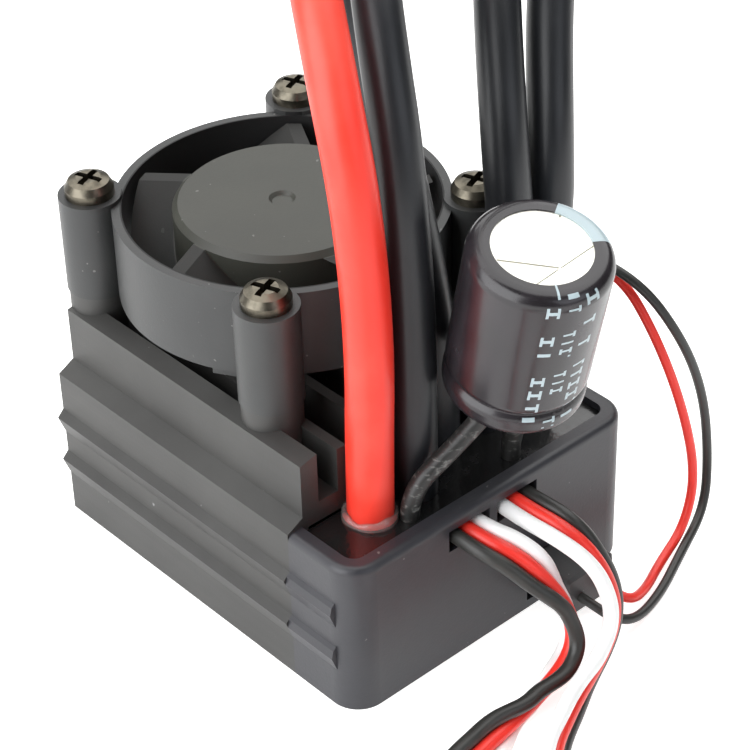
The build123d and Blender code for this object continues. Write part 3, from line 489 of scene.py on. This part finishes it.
# a ring of clear glue that crept up the red wire before it set
RESIN_TOP = 14.96
GLUE_X, GLUE_Y, _ = WIRE_ROUTES["battery_wire_positive"][0]
GLUE_R = 0.34
GLUE_CREEP = 0.62
glue_mesh = bpy.data.meshes.new("wire_glue")
glue_form = bmesh.new()
around, round_it = 72, 14
rows = []
for step in range(around):
    turn = 2 * math.pi * step / around
    swell = 1 + 0.22 * math.sin(3 * turn + 0.6) + 0.12 * math.sin(7 * turn)
    row = []
    for corner in range(round_it):
        lean = 2 * math.pi * corner / round_it
        out = WIRE_D / 2 + 0.12 + GLUE_R * swell * math.cos(lean)
        row.append(glue_form.verts.new(at((
            GLUE_X + out * math.cos(turn), GLUE_Y + out * math.sin(turn),
            RESIN_TOP + GLUE_CREEP * swell * math.sin(lean)))))
    rows.append(row)
for step, row in enumerate(rows):
    following = rows[(step + 1) % around]
    for corner in range(round_it):
        beside = (corner + 1) % round_it
        face = glue_form.faces.new((row[corner], following[corner], following[beside], row[beside]))
        face.smooth = True
bmesh.ops.recalc_face_normals(glue_form, faces=glue_form.faces)
glue_form.to_mesh(glue_mesh)
glue_form.free()
glue_ring = bpy.data.objects.new("wire_glue", glue_mesh)
bpy.context.scene.collection.objects.link(glue_ring)
glue = Finish("clear_glue", Base_Color=(0.95, 0.80, 0.76), Transmission_Weight=0.85, IOR=1.45)
bubbles = glue.noise(900.0, 3.0)
glue.wear(Roughness=0.10 + 0.20 * bubbles, Normal=glue.bump(bubbles, 0.08 * MM, 0.6))
glue_mesh.materials.append(glue.material)
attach(glue_ring, "controller")


# ---- Heat sink ----
# An extruded aluminium channel, sawn to length, grey-black anodised. The die leaves lines along the
# case, and bare metal shows as fine glints where an edge has been knocked.

sink = Finish("anodised_aluminium")
drawn = sink.noise(14.0, 4.0, sink.stretched((60.0, 1.2, 60.0)))
patch = sink.noise(75.0, 5.0)
fine = sink.noise(4200.0, 2.0)
knock = sink.step(sink.noise(620.0, 2.0), 0.745, 0.77)
tone = sink.mix(sink.step(patch, 0.3, 0.75), (0.045, 0.044, 0.042), (0.065, 0.064, 0.061))
tone = sink.mix(knock * 0.5, tone, (0.42, 0.42, 0.42))
sink.wear(Base_Color=tone, Metallic=0.30, Roughness=0.38 + 0.14 * patch + 0.10 * drawn,
          Normal=sink.bump(drawn + 0.35 * fine, 0.03 * MM, 0.6))
dress(sink, "heatsink_case")


# ---- Fan ----
# A 30 mm brushless fan: frame and rotor are moulded in black glass-filled plastic, with pan-head
# screws through the four posts.

fan_plastic = moulded("fan_plastic", (0.026, 0.027, 0.027), (0.038, 0.039, 0.038), 0.40,
                      5200.0, 0.014)
rotor_plastic = moulded("rotor_plastic", (0.034, 0.035, 0.028), (0.048, 0.049, 0.040), 0.46,
                        5200.0, 0.012)


def from_axis(finish, y):
    """Distance in metres from an upright axis at x 0."""
    flat = finish.node("ShaderNodeVectorMath", {"operation": "MULTIPLY"},
                       {0: finish.place(), 1: (1, 1, 0)})
    return finish.node("ShaderNodeVectorMath", {"operation": "DISTANCE"},
                       {0: flat, 1: (0, y, 0)}, out=1)


def paint_shade_where(finish, mask):
    """Painted shade: near-black, duller plastic where the mask is 1, standing in for the shadow
    inside the fan.
    """
    tone = Value(finish, finish.shader.inputs["Base Color"].links[0].from_socket)
    rough = Value(finish, finish.shader.inputs["Roughness"].links[0].from_socket)
    finish.wear(Base_Color=finish.mix(mask, tone, (0.004, 0.004, 0.004)),
                Roughness=rough + 0.22 * mask)


FAN_Y = 7.0 * MM
BORE_R = 14.25 * MM
HUB_R = 9.72 * MM
HUB_EDGE_R = 9.9 * MM
# painted shade: the frame's bore and the rotor's blades get a near-black base colour for the shadow
# inside the fan
paint_shade_where(fan_plastic, from_axis(fan_plastic, FAN_Y) < BORE_R)
beyond_hub = rotor_plastic.step(from_axis(rotor_plastic, FAN_Y), HUB_R, HUB_EDGE_R)
paint_shade_where(rotor_plastic, 0.8 * beyond_hub)
dress(fan_plastic, "fan_frame")
dress(rotor_plastic, "fan_rotor")

nickel = Finish("nickel_steel", Metallic=1.0)
smear = nickel.noise(900.0, 4.0)
scratch = nickel.noise(700.0, 3.0, nickel.stretched((9.0, 1.0, 1.0), (0, 0, 0.5)))
nickel.wear(Base_Color=nickel.mix(nickel.step(smear, 0.4, 0.75),
                                  (0.15, 0.135, 0.105), (0.07, 0.064, 0.05)),
            Roughness=0.24 + 0.25 * smear, Normal=nickel.bump(smear + scratch, 0.012 * MM, 0.6))
dress(nickel, "fan_screws")


# ---- Capacitor ----
# A drawn aluminium can in a shrunk film sleeve, printed with a pale polarity stripe and rows of
# plain marks. The film is folded over the end and leaves a bare disc with the scored vent.

CAN_BASE = (2.4, -19.3, 25.6)
CAN_LEAN = 13.8
CAN_TIP = -2.5
CAN_TURN = (Matrix.Rotation(math.radians(CAN_LEAN), 3, "X")
            @ Matrix.Rotation(math.radians(CAN_TIP), 3, "Y"))
STRIPE_ANGLE = 2.0
STRIPE_HALF = 30.0
# angle round the can, half the row's width in degrees, pitch of its marks and their shift, in mm
MARK_ROWS = ((-90, 6.6, 1.25, 0.2), (-107, 5.6, 0.95, 0.7), (-124, 5.6, 1.6, 0.4))


def can_axes(finish):
    """Angle round the can in degrees and height from its base in millimetres."""
    undo = CAN_TURN.transposed()
    moved = undo @ at(CAN_BASE)
    turned = finish.node("ShaderNodeVectorRotate", {"rotation_type": "EULER_XYZ"},
                         {"Vector": finish.place(), "Rotation": undo.to_euler()})
    local = finish.node("ShaderNodeVectorMath", {"operation": "SUBTRACT"}, {0: turned, 1: moved})
    split = finish.node("ShaderNodeSeparateXYZ", {}, {0: local})
    x, y, z = (Value(finish, s) for s in split.socket.node.outputs)
    angle = finish.node("ShaderNodeMath", {"operation": "ARCTAN2"}, {0: y, 1: x}) * math.degrees(1)
    return angle, z * 1000.0


def band(value, middle, half):
    """1 within half of a middle value."""
    return abs(value - middle) < half


film = Finish("sleeve_film", Specular_IOR_Level=0.5, Coat_Roughness=0.06)
angle, height = can_axes(film)
stripe = band(angle, STRIPE_ANGLE, STRIPE_HALF)
bar_place = film.node("ShaderNodeMath", {"operation": "PINGPONG"}, {0: height + 1.4, 1: 2.4})
stripe_bars = (bar_place < 0.16) * band(angle, STRIPE_ANGLE, 17.0)
pale = stripe * (1.0 - stripe_bars)
for row_angle, row_half, pitch, shift in MARK_ROWS:
    cell = film.node("ShaderNodeMath", {"operation": "FRACT"}, {0: (height + shift) / pitch})
    number = film.node("ShaderNodeMath", {"operation": "FLOOR"}, {0: (height + shift) / pitch})
    chance = film.node("ShaderNodeTexWhiteNoise", {"noise_dimensions": "1D"},
                       {"W": number + abs(row_angle)})
    across_row = (angle - row_angle) / row_half
    bar = band(cell, 0.5, 0.11) * (abs(across_row) < 0.9)
    hook = band(cell, 0.5, 0.33) * band(across_row, 0.75, 0.2) * (chance > 0.3)
    foot = band(cell, 0.5, 0.33) * band(across_row, -0.75, 0.2) * (chance > 0.55)
    gap = (height < 9.4) * (height > 8.0)
    marks = (bar + hook + foot > 0.5) * (chance > 0.12) * (1.0 - gap) * (height > 0.9)
    pale = film.node("ShaderNodeMath", {"operation": "MAXIMUM"}, {0: pale, 1: marks})
haze = film.noise(300.0, 4.0)
film_tone = film.mix(film.step(haze, 0.3, 0.8), (0.014, 0.012, 0.014), (0.024, 0.020, 0.024))
film.wear(Base_Color=film.mix(pale * 0.92, film_tone, (0.42, 0.52, 0.55)),
          Roughness=0.19 + 0.12 * haze, Coat_Weight=0.1,
          Normal=film.bump(haze, 0.03 * MM, 0.35))
dress(film, "capacitor_sleeve")

can_metal = Finish("can_aluminium", Metallic=0.9)
turning = can_metal.noise(500.0, 3.0)
rolled = can_metal.noise(300.0, 4.0, can_metal.stretched((0.6, 9.0, 1.0), (0, 0, 0.4)))
can_metal.wear(Base_Color=can_metal.mix(turning, (0.86, 0.85, 0.78), (0.76, 0.75, 0.68)),
               Roughness=0.34 + 0.16 * rolled, Normal=can_metal.bump(rolled, 0.01 * MM, 0.5))
dress(can_metal, "capacitor_can")

lead_sleeve = Finish("grey_sleeve", Specular_IOR_Level=0.5)
scuff_and_highlight = lead_sleeve.noise(1500.0, 4.0)
streak = lead_sleeve.noise(800.0, 3.0, lead_sleeve.stretched((1.0, 1.0, 5.0)))
# partly painted highlight: the lighter grey streaks are real scuffs and scratches, painted lighter
# for the light they catch
lead_sleeve.wear(Base_Color=lead_sleeve.mix(lead_sleeve.step(streak + scuff_and_highlight, 1.05, 1.35),
                                            (0.022, 0.022, 0.021), (0.17, 0.17, 0.16)),
                 Roughness=0.30 + 0.25 * scuff_and_highlight,
                 Normal=lead_sleeve.bump(scuff_and_highlight + streak, 0.05 * MM, 0.6))
dress(lead_sleeve, "capacitor_lead_sleeves")


# ---- Circuit boards ----
# Glass-fibre boards under green solder mask, with the copper tracks just visible through it. Two are
# stacked in the case, a round one is in the fan, and a small one is in the switch box.

TRACK_EDGE = 0.03
board = Finish("board", Specular_IOR_Level=0.5)
tracks = board.node("ShaderNodeTexVoronoi", {"feature": "DISTANCE_TO_EDGE"},
                    {"Vector": board.place(), "Scale": 420.0})
between_tracks = board.step(tracks, TRACK_EDGE, 2 * TRACK_EDGE)
board.wear(Base_Color=board.mix(between_tracks, (0.02, 0.16, 0.07), (0.012, 0.09, 0.045)),
           Roughness=0.26 + 0.1 * board.noise(200.0), Normal=board.bump(between_tracks, 0.03 * MM))
dress(board, "power_board", "control_board", "fan_board", "switch_board")


# ---- Power transistors and microcontroller ----
# Chips in black epoxy, soldered to the two boards in the case.


def plain(name, colour, shade, shine, metal=0.0, scale=700.0):
    """A small part's finish: two close tones, uneven gloss and a light tooth."""
    finish = Finish(name, Metallic=metal)
    cloud = finish.noise(scale, 4.0)
    finish.wear(Base_Color=finish.mix(cloud, colour, shade), Roughness=shine + 0.15 * cloud,
                Normal=finish.bump(cloud, 0.012 * MM, 0.6))
    return finish


chip_plastic = plain("chip_plastic", (0.02, 0.02, 0.02), (0.04, 0.04, 0.04), 0.42)
dress(chip_plastic, "mosfets", "microcontroller")


# ---- Thermal pad and capacitor bung ----
# Grey rubber: a soft pad pressed between the transistors and the sink, and a firm bung that closes
# the capacitor's can.

pad_rubber = plain("pad_rubber", (0.16, 0.16, 0.18), (0.22, 0.22, 0.24), 0.7)
dress(pad_rubber, "thermal_pad", "capacitor_bung")


# ---- Board spacers, link pins and coil ----
# Nylon spacers hold the boards apart, gold-plated pins join them, and a ferrite coil stands on the
# control board.

white_plastic = plain("white_plastic", (0.82, 0.82, 0.80), (0.74, 0.74, 0.71), 0.4)
gold_plate = plain("gold_plate", (0.88, 0.62, 0.24), (0.78, 0.50, 0.18), 0.18, 1.0)
ferrite = plain("ferrite", (0.05, 0.05, 0.05), (0.09, 0.09, 0.09), 0.5)
dress(white_plastic, "board_spacers")
dress(gold_plate, "link_pins")
dress(ferrite, "voltage_coil")


# ---- Wire cores and capacitor leads ----
# The power wires' stripped copper ends, soldered to the power board, and the capacitor's tinned legs.

copper = plain("copper", (0.70, 0.32, 0.18), (0.50, 0.20, 0.10), 0.3, 1.0)
tinned_copper = plain("tinned_copper", (0.75, 0.74, 0.72), (0.55, 0.54, 0.52), 0.28, 1.0)
dress(copper, "wire_cores")
dress(tinned_copper, "capacitor_leads")


# ---- Capacitor winding ----
# Aluminium foil and paper, wound tight inside the can.

foil = plain("foil", (0.72, 0.70, 0.64), (0.60, 0.55, 0.45), 0.35, 0.7)
dress(foil, "capacitor_winding")


# ---- Fan motor ----
# A steel shaft in a bronze sleeve bearing, a laminated steel stator wound with copper, and a ferrite
# ring pressed into the rotor's hub.

steel = plain("steel", (0.56, 0.56, 0.57), (0.42, 0.42, 0.43), 0.3, 1.0)
bronze = plain("bronze", (0.50, 0.33, 0.18), (0.38, 0.24, 0.12), 0.35, 1.0)
dress(steel, "fan_shaft", "fan_stator")
dress(bronze, "fan_bearing")
dress(copper, "fan_coils")
dress(ferrite, "rotor_magnet")


# ---- Battery, receiver and fan plugs ----
# Black nylon mouldings pushed over gold-plated contacts. The fan's plug sits in a header in the nose.

plug_plastic = moulded("plug_plastic", (0.040, 0.040, 0.042), (0.055, 0.055, 0.056), 0.40, 3000.0)
dress(plug_plastic, "battery_plug", "receiver_plug", "fan_plug", "fan_header")
dress(gold_plate, "battery_contacts", "receiver_contacts", "fan_header_pins")


# ---- Motor bullets ----
# Turned brass, gold-plated and soldered to the motor wires, with shrunk tube over each joint.

shrink = plain("shrink_tube", (0.020, 0.020, 0.021), (0.035, 0.035, 0.036), 0.35, 0.0, 500.0)
for letter in "abc":
    dress(gold_plate, "motor_bullet_" + letter)
    dress(shrink, "motor_bullet_sleeve_" + letter)


# ---- Switch box ----
# A two-part nylon shell round a slide switch and a push switch with nickel-plated steel bodies. Its
# slide knob is white and its set button red.

box_plastic = moulded("box_plastic", (0.042, 0.042, 0.044), (0.058, 0.058, 0.058), 0.46,
                      2600.0, 0.03)
red_plastic = plain("red_plastic", (0.70, 0.03, 0.02), (0.60, 0.02, 0.015), 0.25)
dress(box_plastic, "switch_shell", "switch_base")
dress(nickel, "slide_switch", "push_switch")
dress(white_plastic, "switch_knob")
dress(red_plastic, "set_button")
